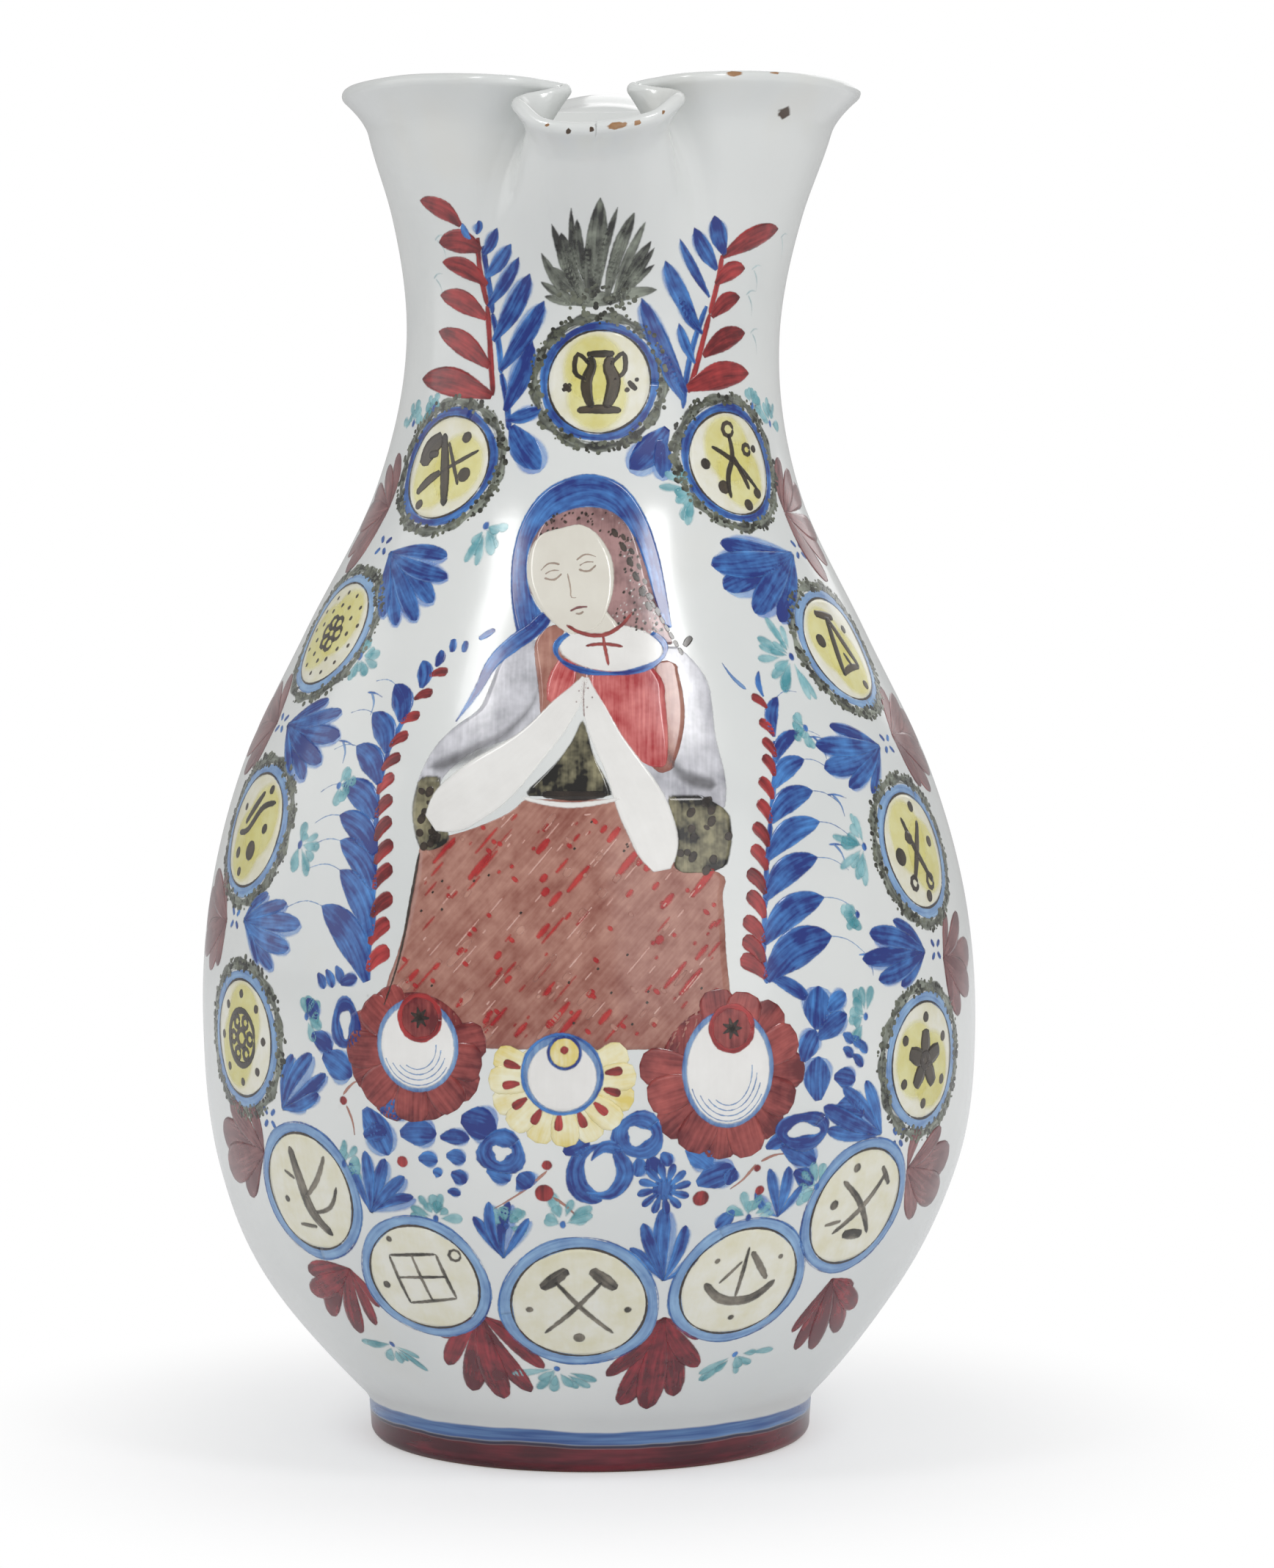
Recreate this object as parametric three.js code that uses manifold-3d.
// Spouted jug: a pear-shaped glazed pottery body on a turned foot, a flared neck with a
// pinched pouring lip at the front (-Y) and a pulled strap handle at the back (+Y).
// Millimetres, +Z up, origin in the middle of the flat base the jug stands on.
import * as THREE from "three";
import { mergeVertices } from "three/addons/utils/BufferGeometryUtils.js";
import Module from "manifold-3d";

const wasm = await Module();
wasm.setup();
const { Manifold, Mesh } = wasm;

// Driving sizes of the body
const FOOT_RADIUS = 53.1;
const FOOT_HEIGHT = 9;
const FOOT_EDGE = 2.5;
const FOOT_STEP = 0.4;
const BELLY_RADIUS = 92.9;
const BELLY_HEIGHT = 99.7;
const NECK_RADIUS = 44.6;
const NECK_HEIGHT = 263.7;
const RIM_RADIUS = 61.9;
const RIM_HEIGHT = 321.7;
const WALL_LOW = 5.6;
const WALL_NECK = 4.4;
const WALL_RIM = 3.2;
const FLOOR_THICK = 7;
const FLOOR_ROUND = 9;
const LEAN = 2.8;
const RIM_TILT = 0.4;

// Driving sizes of the pouring lip
const LIP_FLARE = 4.4;
const SPOUT_REACH = 10;
const SPOUT_HALF = 13.4;
const THROAT_HALF = 7.4;
const THROAT_DEPTH = 9;
const LIP_DROP = 13.6;
const LIP_TILT = 0.08;
const SPOUT_EDGE = 50;
const FOLD_END = 35.3;

// Driving sizes of the handle
const HANDLE_WIDTH = 31;
const HANDLE_NARROW = 25;
const HANDLE_THICK = 11;
const HANDLE_RISE = 2.2;
const HANDLE_OUT = 53;
const HANDLE_FOOT = 153.7;

// Clearances and seams
const JOINT_GAP = 0.3;
const SEAM_HEIGHT = NECK_HEIGHT + 0.38 * (RIM_HEIGHT - NECK_HEIGHT);
const SEAM_HALF = 39;
const SEAM_BACK = 24;

// Facet counts
const AROUND = 64;
const OUTER_ROWS = 22;
const INNER_ROWS = 16;
const NECK_ROWS = 11;
const RIM_STEPS = 4;
const HANDLE_STEPS = 30;
const HANDLE_SIDES = 14;

const BOWL_RADIUS = RIM_RADIUS - LIP_FLARE;
const WALL_SPLIT = (BELLY_HEIGHT + NECK_HEIGHT) / 2;

// How the outline swells between its named sizes: share of the height, share of the radius
const FOOT_TO_BELLY = [[0.02, 0.025], [0.06, 0.11], [0.16, 0.31], [0.36, 0.64], [0.625, 0.896]];
const BELLY_TO_NECK = [[0.195, 0.05], [0.378, 0.219], [0.573, 0.533], [0.78, 0.873]];
const NECK_TO_BOWL = [[0.5, 0.34], [0.82, 0.8]];

// How the turning axis sways, as on any hand-thrown jug: share of the height, distance to +X
const SWAY = [
  [0, 0], [0.04, -0.1], [0.11, -1.1], [0.24, -0.1], [0.38, -0.4],
  [0.54, -1.1], [0.7, -0.6], [0.82, 0.8], [1, LEAN],
];

const clamp01 = (t) => Math.min(1, Math.max(0, t));
const smooth = (t) => clamp01(t) ** 2 * (3 - 2 * clamp01(t));
const mix = (a, b, t) => a + (b - a) * t;
const radians = THREE.MathUtils.degToRad;

// A smooth curve through rows of numbers, the first of each row being the place along it
function curveThrough(rows) {
  const at = rows.map((row) => row[0]);
  const step = at.slice(1).map((z, i) => z - at[i]);
  const slope = (k) => step.map((h, i) => (rows[i + 1][k] - rows[i][k]) / h);
  const tangents = (k) => {
    const s = slope(k);
    const m = s.map((v, i) => {
      if (i === 0) return v;
      return (s[i - 1] * step[i] + v * step[i - 1]) / (step[i - 1] + step[i]);
    });
    m.push(1.5 * s.at(-1) - 0.5 * m.at(-1));
    m[0] = 1.5 * s[0] - 0.5 * m[1];
    return m;
  };
  const kept = rows[0].slice(1).map((_, k) => tangents(k + 1));
  return (z) => {
    let i = 0;
    while (i < step.length - 1 && z > at[i + 1]) i += 1;
    const t = (z - at[i]) / step[i];
    return kept.map((m, k) => {
      const a = rows[i][k + 1] * (2 * t ** 3 - 3 * t ** 2 + 1);
      const b = rows[i + 1][k + 1] * (3 * t ** 2 - 2 * t ** 3);
      const c = m[i] * (t ** 3 - 2 * t ** 2 + t) * step[i];
      return a + b + c + m[i + 1] * (t ** 3 - t ** 2) * step[i];
    });
  };
}

function stations(from, to, shares) {
  return shares.map(([u, g]) => [mix(from[0], to[0], u), mix(from[1], to[1], g)]);
}

const BODY_BOTTOM = [FOOT_HEIGHT, FOOT_RADIUS + FOOT_STEP];
const BODY_WIDE = [BELLY_HEIGHT, BELLY_RADIUS];
const BODY_NARROW = [NECK_HEIGHT, NECK_RADIUS];
const BODY_TOP = [RIM_HEIGHT, BOWL_RADIUS];
const outline = curveThrough([
  BODY_BOTTOM,
  ...stations(BODY_BOTTOM, BODY_WIDE, FOOT_TO_BELLY),
  BODY_WIDE,
  ...stations(BODY_WIDE, BODY_NARROW, BELLY_TO_NECK),
  BODY_NARROW,
  ...stations(BODY_NARROW, BODY_TOP, NECK_TO_BOWL),
  BODY_TOP,
]);
const outerRadius = (z) => outline(z)[0];

function wallThickness(z) {
  const low = mix(WALL_LOW, WALL_NECK, smooth((z - BELLY_HEIGHT) / (WALL_SPLIT - BELLY_HEIGHT)));
  return mix(low, WALL_RIM, smooth((z - NECK_HEIGHT) / (RIM_HEIGHT - NECK_HEIGHT)));
}

// The wall is thicker measured level than square to itself wherever it slopes
function levelWall(z) {
  const slope = outerRadius(z + 0.5) - outerRadius(z - 0.5);
  return wallThickness(z) * Math.hypot(1, z > NECK_HEIGHT - 1 && z < NECK_HEIGHT + 1 ? 0 : slope);
}

const sway = curveThrough(SWAY.map(([share, across]) => [share * RIM_HEIGHT, across]));
const leanAt = (z) => sway(Math.min(z, RIM_HEIGHT))[0];
const rimShare = (z) => smooth((z - NECK_HEIGHT) / (RIM_HEIGHT - NECK_HEIGHT));
const tiltAt = (x, z) => RIM_TILT * (1 - x / RIM_RADIUS) * rimShare(z);
const leaned = (p) => [p[0] + leanAt(p[2]), p[1], p[2] - tiltAt(p[0], p[2])];

// Closed meshes, from a grid of rows that ends in a ring on itself or in two poles
function meshFromGrid(grid, closedRows) {
  const width = grid[0].length;
  const positions = grid.flat(2);
  const index = [];
  const rows = closedRows ? grid.length : grid.length - 1;
  for (let i = 0; i < rows; i += 1) {
    const below = i * width;
    const above = ((i + 1) % grid.length) * width;
    for (let j = 0; j < width; j += 1) {
      const next = (j + 1) % width;
      index.push(below + j, below + next, above + next);
      index.push(below + j, above + next, above + j);
    }
  }
  const geometry = new THREE.BufferGeometry();
  geometry.setAttribute("position", new THREE.Float32BufferAttribute(positions, 3));
  geometry.setIndex(index);
  return geometry;
}

function capped(grid) {
  const poleBelow = meanOf(grid[0]);
  const poleAbove = meanOf(grid.at(-1));
  const all = [grid[0].map(() => poleBelow), ...grid, grid.at(-1).map(() => poleAbove)];
  return welded(meshFromGrid(all, false));
}

function meanOf(ring) {
  const sum = ring.reduce((s, p) => s.map((v, k) => v + p[k]), [0, 0, 0]);
  return sum.map((v) => v / ring.length);
}

function welded(geometry) {
  const bare = geometry.clone();
  bare.deleteAttribute("normal");
  bare.deleteAttribute("uv");
  const merged = mergeVertices(bare, 1e-4);
  const kept = [];
  for (let i = 0; i < merged.index.count; i += 3) {
    const tri = [0, 1, 2].map((k) => merged.index.getX(i + k));
    if (new Set(tri).size === 3) kept.push(...tri);
  }
  merged.setIndex(kept);
  return merged;
}

function toSolid(geometry) {
  const g = welded(geometry);
  return new Manifold(new Mesh({
    numProp: 3,
    vertProperties: new Float32Array(g.attributes.position.array),
    triVerts: new Uint32Array(g.index.array),
  }));
}

function toGeometry(solid) {
  const mesh = solid.getMesh();
  const geometry = new THREE.BufferGeometry();
  geometry.setAttribute("position", new THREE.Float32BufferAttribute(mesh.vertProperties, 3));
  geometry.setIndex([...mesh.triVerts]);
  return geometry;
}

// A turned shape: half-section points [radius, height] from the axis below to the axis above
function turned(points) {
  const shape = points.map(([r, z]) => new THREE.Vector2(Math.max(r, 0), z));
  const geometry = new THREE.LatheGeometry(shape, AROUND);
  geometry.rotateX(Math.PI / 2);
  const place = geometry.attributes.position;
  for (let i = 0; i < place.count; i += 1) {
    place.setX(i, place.getX(i) + leanAt(place.getZ(i)));
  }
  return welded(geometry);
}

function footGeometry() {
  const points = [[0, 0]];
  for (let i = 0; i <= RIM_STEPS; i += 1) {
    const a = (i / RIM_STEPS) * (Math.PI / 2);
    points.push([
      FOOT_RADIUS - FOOT_EDGE + FOOT_EDGE * Math.sin(a),
      FOOT_EDGE - FOOT_EDGE * Math.cos(a),
    ]);
  }
  points.push([FOOT_RADIUS, FOOT_HEIGHT], [0, FOOT_HEIGHT]);
  return turned(points);
}

// Rings lie closer together above the foot, where the outline bends most
const bellyRise = (i) => (i / OUTER_ROWS) ** 1.3;

function bellyGeometry() {
  const points = [[0, FOOT_HEIGHT]];
  for (let i = 0; i <= OUTER_ROWS; i += 1) {
    const z = mix(FOOT_HEIGHT, NECK_HEIGHT, bellyRise(i));
    points.push([outerRadius(z), z]);
  }
  const floor = FOOT_HEIGHT + FLOOR_THICK;
  const wallFoot = floor + FLOOR_ROUND;
  const inner = (z) => outerRadius(z) - levelWall(z);
  for (let i = 0; i <= INNER_ROWS; i += 1) {
    const z = mix(NECK_HEIGHT, wallFoot, i / INNER_ROWS);
    points.push([inner(z), z]);
  }
  for (let i = 1; i <= RIM_STEPS; i += 1) {
    const a = (i / RIM_STEPS) * (Math.PI / 2);
    points.push([
      inner(wallFoot) - 1.4 * FLOOR_ROUND * (1 - Math.cos(a)),
      wallFoot - FLOOR_ROUND * Math.sin(a),
    ]);
  }
  points.push([0, floor]);
  return turned(points);
}

// Half of the pinched lip seen from above, from the middle of its front to the round rim:
// share along it, distance sideways, distance past the bowl's circle, sweep in degrees on
// that circle, how far the lip turns out, and how much it dips as a share of the drop.
const foldOut = (angle) => Math.sin(radians(angle)) * BOWL_RADIUS;
const foldBack = (angle) => -(1 - Math.cos(radians(angle))) * BOWL_RADIUS;
const PINCH = [
  [0, 0, SPOUT_REACH, 0, 5.2, 1],
  [1, 0.37 * SPOUT_HALF, 0.99 * SPOUT_REACH, 6.5, 5.2, 0.98],
  [2, 0.75 * SPOUT_HALF, 0.85 * SPOUT_REACH, 12.5, 5.2, 0.87],
  [3, SPOUT_HALF, 0.5 * SPOUT_REACH, 17.5, 5, 0.54],
  [4, 0.955 * SPOUT_HALF, 0.15 * SPOUT_REACH, 21, 4.2, 0.39],
  [5, mix(THROAT_HALF, SPOUT_HALF, 0.35), -0.24 * THROAT_DEPTH, 24.5, 2.5, 0.3],
  [6, THROAT_HALF, -0.68 * THROAT_DEPTH, 28, 0.8, 0.235],
  [7, THROAT_HALF + 1.6, -THROAT_DEPTH, 31, 0.8, 0.185],
  [8, THROAT_HALF + 7.6, -0.95 * THROAT_DEPTH, 34.5, 2.4, 0.135],
  [9, THROAT_HALF + 16.4, -0.66 * THROAT_DEPTH, 39, 3.8, 0.085],
  [10, foldOut(FOLD_END), foldBack(FOLD_END), 44.5, 4.3, 0.034],
  [11, foldOut(SPOUT_EDGE), foldBack(SPOUT_EDGE), SPOUT_EDGE, LIP_FLARE, 0],
  // Past the end of the pinch: it only sets the direction in which the curve ends
  [12, foldOut(2 * SPOUT_EDGE - FOLD_END), foldBack(2 * SPOUT_EDGE - FOLD_END),
    2 * SPOUT_EDGE - 44.5, 4.3, 0.034],
];
const PINCH_END = PINCH.length - 2;
const pinchAt = curveThrough(PINCH);
const PINCH_START = 0.2;
const PINCH_EASE = 2;
const FLARE_START = 0.85;

// Where the middle of the wall lies. side is -1 or 1, along runs over the pinch and then
// round the back, and up runs from the neck's seam (0) to the rim (1).
function midWall(side, along, up) {
  const [across, past, sweep, flare, dip] = pinchAt(Math.min(along, PINCH_END));
  const back = Math.max(0, along - PINCH_END);
  const turn = radians(along > PINCH_END ? mix(SPOUT_EDGE, 180, back) : sweep);
  const drop = along > PINCH_END ? 0 : dip * (LIP_DROP - side * across * LIP_TILT);
  const top = RIM_HEIGHT - drop;
  const z = mix(NECK_HEIGHT, top, up);
  const level = mix(NECK_HEIGHT, RIM_HEIGHT, up);
  const radius = outerRadius(level) - levelWall(level) / 2;
  const round = [radius * Math.sin(turn), -radius * Math.cos(turn)];
  const share = along > PINCH_END ? 0 : clamp01((up - PINCH_START) / (1 - PINCH_START));
  const weight = share ** PINCH_EASE;
  const inset = levelWall(RIM_HEIGHT) / 2;
  const lip = [across * (1 - inset / BOWL_RADIUS), -(BOWL_RADIUS - inset) - past];
  const x = mix(round[0], lip[0], weight);
  const y = mix(round[1], lip[1], weight);
  const out = (along > PINCH_END ? LIP_FLARE : flare) * flareAt(up);
  return { x: side * x, y, z, out, thick: wallThickness(level) };
}

const flareAt = (up) => clamp01((up - FLARE_START) / (1 - FLARE_START)) ** 1.8;

function levelNormal(side, along, up) {
  const step = 0.02;
  const a = midWall(side, Math.max(along - step, 0), up);
  const b = midWall(side, Math.min(along + step, PINCH_END + 1), up);
  const v = new THREE.Vector3(-side * (a.y - b.y), side * (a.x - b.x), 0);
  return v.normalize();
}

function flaredWall(side, along, up) {
  const m = midWall(side, along, up);
  const n = levelNormal(side, along, up);
  return new THREE.Vector3(m.x + n.x * m.out, m.y + n.y * m.out, m.z);
}

function wallFrame(side, along, up) {
  const step = 0.02;
  const a = flaredWall(side, Math.max(along - step, 0), up);
  const b = flaredWall(side, Math.min(along + step, PINCH_END + 1), up);
  const low = flaredWall(side, along, Math.max(up - step, 0));
  const high = flaredWall(side, along, Math.min(up + step, 1));
  const rise = high.sub(low).normalize();
  const run = b.sub(a).multiplyScalar(side);
  const normal = run.cross(rise).normalize();
  if (along === 0 || along === PINCH_END + 1) normal.setX(0).normalize();
  if (up === 0) normal.setZ(0).normalize();
  return { at: flaredWall(side, along, up), normal, rise, thick: midWall(side, along, up).thick };
}

function neckColumns() {
  const half = [];
  for (let i = 0; i < 2 * PINCH_END; i += 1) half.push(i / 2);
  const backSteps = Math.round((180 - SPOUT_EDGE) / 6.5);
  for (let i = 0; i <= backSteps; i += 1) half.push(PINCH_END + i / backSteps);
  const left = half.slice(1, -1).reverse().map((along) => [-1, along]);
  return [...half.map((along) => [1, along]), ...left];
}

const neckRise = (i) => (i / NECK_ROWS) ** 0.85;

function neckRing(up, offset) {
  return neckColumns().map(([side, along]) => {
    const f = wallFrame(side, along, up);
    const p = f.at.addScaledVector(f.normal, offset(f.thick));
    if (up === 0) p.z = NECK_HEIGHT;
    return leaned(p.toArray());
  });
}

// A ring of the rounded edge of the rim, from its outside over to its inside
function rimRing(k, radius) {
  const a = (k / RIM_STEPS) * Math.PI;
  return neckColumns().map(([side, along]) => {
    const f = wallFrame(side, along, 1);
    const p = f.at.addScaledVector(f.normal, Math.cos(a) * radius(f.thick));
    return leaned(p.addScaledVector(f.rise, Math.sin(a) * radius(f.thick)).toArray());
  });
}

function neckShell() {
  const grid = [];
  for (let i = 0; i <= NECK_ROWS; i += 1) grid.push(neckRing(neckRise(i), (t) => t / 2));
  for (let k = 1; k < RIM_STEPS; k += 1) grid.push(rimRing(k, (t) => t / 2));
  for (let i = NECK_ROWS; i >= 0; i -= 1) grid.push(neckRing(neckRise(i), (t) => -t / 2));
  return toSolid(meshFromGrid(grid, true));
}

// The space a handle must keep out of: the body and neck, filled and grown by the gap
function bodyKeepOut(gap) {
  const lower = [];
  for (let i = 0; i <= OUTER_ROWS; i += 1) {
    const z = mix(FOOT_HEIGHT, NECK_HEIGHT, bellyRise(i));
    lower.push([outerRadius(z) + gap * levelWall(z) / wallThickness(z), z]);
  }
  const top = NECK_HEIGHT + gap;
  const belly = turned([[0, FOOT_HEIGHT], ...lower, [lower.at(-1)[0], top], [0, top]]);
  const grid = [];
  for (let i = 0; i <= NECK_ROWS; i += 1) grid.push(neckRing(neckRise(i), (t) => t / 2 + gap));
  for (let k = 1; k <= RIM_STEPS / 2; k += 1) grid.push(rimRing(k, (t) => t / 2 + gap));
  const above = grid.at(-1).map(([x, y]) => [x, y, RIM_HEIGHT + HANDLE_WIDTH]);
  return toSolid(belly).add(toSolid(capped([...grid, above])));
}

// The block that parts the pinched front from the neck, grown or shrunk by the gap
function spoutBlock(gap) {
  const depth = RIM_RADIUS + 4 * SPOUT_REACH;
  const tall = 4 * LIP_DROP + RIM_HEIGHT - SEAM_HEIGHT;
  const size = [2 * (SEAM_HALF + gap), depth - SEAM_BACK + gap, tall + gap];
  const block = new THREE.BoxGeometry(...size);
  block.translate(LEAN, -(depth + SEAM_BACK - gap) / 2, SEAM_HEIGHT - gap + size[2] / 2);
  return toSolid(block);
}

// The handle's line in the jug's middle plane: share along it, distance back, height
const handleLine = curveThrough([
  [0, NECK_RADIUS + 6, RIM_HEIGHT - 16],
  [1, RIM_RADIUS, RIM_HEIGHT - HANDLE_THICK / 2 - 1],
  [2, RIM_RADIUS + 0.19 * HANDLE_OUT, RIM_HEIGHT - HANDLE_RISE / 8],
  [3, RIM_RADIUS + 0.42 * HANDLE_OUT, RIM_HEIGHT + HANDLE_RISE],
  [4, RIM_RADIUS + 0.7 * HANDLE_OUT, RIM_HEIGHT - 5],
  [5, RIM_RADIUS + 0.89 * HANDLE_OUT, mix(RIM_HEIGHT, HANDLE_FOOT, 0.14)],
  [6, RIM_RADIUS + HANDLE_OUT, mix(RIM_HEIGHT, HANDLE_FOOT, 0.33)],
  [7, RIM_RADIUS + HANDLE_OUT, mix(RIM_HEIGHT, HANDLE_FOOT, 0.53)],
  [8, RIM_RADIUS + 0.88 * HANDLE_OUT, mix(RIM_HEIGHT, HANDLE_FOOT, 0.73)],
  [9, RIM_RADIUS + 0.64 * HANDLE_OUT, mix(RIM_HEIGHT, HANDLE_FOOT, 0.89)],
  [10, outerRadius(HANDLE_FOOT) + 3, HANDLE_FOOT],
  [11, outerRadius(HANDLE_FOOT) - 10, HANDLE_FOOT - 9],
]);
const HANDLE_END = 11;

// Share along the handle, its width
const handleWidth = curveThrough([
  [0, HANDLE_WIDTH + 3],
  [2, HANDLE_WIDTH],
  [5, mix(HANDLE_WIDTH, HANDLE_NARROW, 0.5)],
  [8, HANDLE_NARROW],
  [10, HANDLE_NARROW + 2],
  [HANDLE_END, HANDLE_NARROW + 6],
]);

function handleRing(s) {
  const step = 0.02;
  const [y, z] = handleLine(s);
  const [y0, z0] = handleLine(s - step);
  const [y1, z1] = handleLine(s + step);
  const along = Math.hypot(y1 - y0, z1 - z0);
  const out = [-(z1 - z0) / along, (y1 - y0) / along];
  const [width] = handleWidth(s);
  const ring = [];
  for (let j = 0; j < HANDLE_SIDES; j += 1) {
    const a = (-j / HANDLE_SIDES) * 2 * Math.PI;
    const across = (width / 2) * Math.sign(Math.cos(a)) * Math.abs(Math.cos(a)) ** 0.8;
    const deep = (HANDLE_THICK / 2) * Math.sign(Math.sin(a)) * Math.abs(Math.sin(a)) ** 0.8;
    ring.push(leaned([across, y + out[0] * deep, z + out[1] * deep]));
  }
  return ring;
}

function handleGeometry(keepOut) {
  const grid = [];
  for (let i = 0; i <= HANDLE_STEPS; i += 1) grid.push(handleRing((i / HANDLE_STEPS) * HANDLE_END));
  return toGeometry(toSolid(capped(grid)).subtract(keepOut));
}

const glaze = (name, colour, roughness) => {
  const material = new THREE.MeshStandardMaterial({ color: colour, roughness, metalness: 0 });
  material.name = name;
  return material;
};

function named(name, geometry, material) {
  const mesh = new THREE.Mesh(geometry, material);
  mesh.name = name;
  return mesh;
}

const shell = neckShell();
const jug = new THREE.Group();
jug.name = "spouted_jug";
jug.add(named("foot", footGeometry(), glaze("foot_glaze", 0x9b3540, 0.3)));
jug.add(named("belly", bellyGeometry(), glaze("belly_glaze", 0xe9ebe8, 0.2)));
jug.add(named("neck", toGeometry(shell.subtract(spoutBlock(0))), glaze("neck_glaze", 0xe6e8e6, 0.2)));
jug.add(named("spout", toGeometry(shell.intersect(spoutBlock(-JOINT_GAP))),
  glaze("spout_glaze", 0xe2e5e3, 0.2)));
jug.add(named("handle", handleGeometry(bodyKeepOut(JOINT_GAP)), glaze("handle_glaze", 0xe4e6e4, 0.22)));

export default jug;
